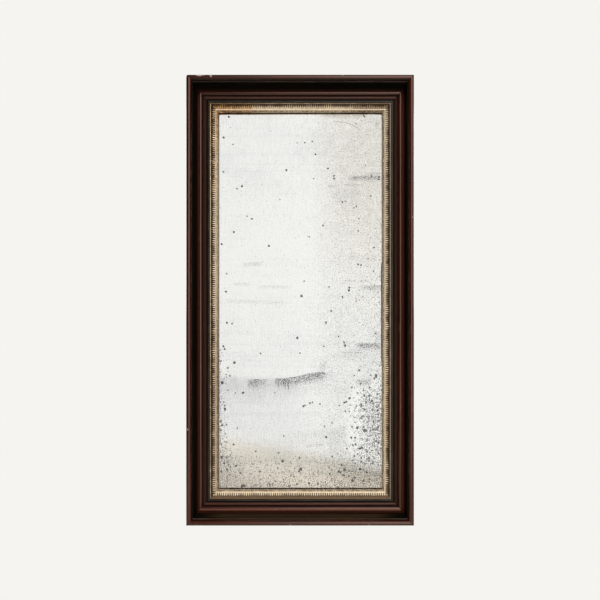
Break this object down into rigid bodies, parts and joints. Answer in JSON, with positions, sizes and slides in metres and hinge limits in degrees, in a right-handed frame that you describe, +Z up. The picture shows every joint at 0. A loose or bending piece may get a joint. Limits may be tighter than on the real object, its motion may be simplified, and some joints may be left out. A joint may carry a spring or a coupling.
{
  "type": "wall mirror",
  "caption": "Tall rectangular wall mirror in a deep mitred frame with mahogany beads, ebonised cove and ribbed gilt slip, hung by two swinging rings.",
  "frame": {"origin": "centre of the frame, on the wall plane that the felts touch", "axes": "+Z up, +X to the right seen from the front, +Y from the front back into the wall"},
  "size_m": [0.69, 0.0945, 1.365],
  "materials": {
    "softwood": "planed softwood, aged",
    "case_mahogany": "dark polished",
    "mahogany": "dark polished",
    "ebonised": "ebonised, satin",
    "gilt": "worn gold leaf on gesso",
    "backboard": "unplaned softwood",
    "key_wood": "hardwood",
    "hanger_brass": "tarnished",
    "ring_brass": "tarnished",
    "screw_steel": "dulled",
    "glass": "clear polished",
    "silvering": "old silvering, foxed",
    "felt": "wool felt"
  },
  "bodies": {
    "frame": {"base_rail_top": "softwood", "case_side_top": "case_mahogany", "outer_bead_top": "mahogany", "cove_top": "ebonised", "inner_moulding_top": "mahogany", "ebonised_strip_top": "ebonised", "gilt_slip_top": "gilt", "base_rail_right": "softwood", "case_side_right": "case_mahogany", "outer_bead_right": "mahogany", "cove_right": "ebonised", "inner_moulding_right": "mahogany", "ebonised_strip_right": "ebonised", "gilt_slip_right": "gilt", "base_rail_bottom": "softwood", "case_side_bottom": "case_mahogany", "outer_bead_bottom": "mahogany", "cove_bottom": "ebonised", "inner_moulding_bottom": "mahogany", "ebonised_strip_bottom": "ebonised", "gilt_slip_bottom": "gilt", "base_rail_left": "softwood", "case_side_left": "case_mahogany", "outer_bead_left": "mahogany", "cove_left": "ebonised", "inner_moulding_left": "mahogany", "ebonised_strip_left": "ebonised", "gilt_slip_left": "gilt", "backboard_1": "backboard", "backboard_2": "backboard", "backboard_3": "backboard", "backboard_4": "backboard", "backboard_5": "backboard", "hanger_plate_left": "hanger_brass", "hanger_plate_right": "hanger_brass", "mirror_glass": "glass", "silvering": "silvering", "glazing_blocks": "softwood", "mitre_keys": "key_wood", "backboard_screws": "screw_steel", "hanger_screws": "screw_steel", "wall_spacers": "softwood", "spacer_felts": "felt"},
    "left_ring": {"hanger_ring_left": "ring_brass"},
    "right_ring": {"hanger_ring_right": "ring_brass"}
  },
  "joints": [
    {"name": "left_ring_swing", "type": "hinge", "parent": "frame", "child": "left_ring", "pos_m": [-0.303, -0.0055, 0.4], "axis": [1, 0, 0], "range_deg": [0, 180]},
    {"name": "right_ring_swing", "type": "hinge", "parent": "frame", "child": "right_ring", "pos_m": [0.303, -0.0055, 0.4], "axis": [1, 0, 0], "range_deg": [0, 180]}
  ]
}
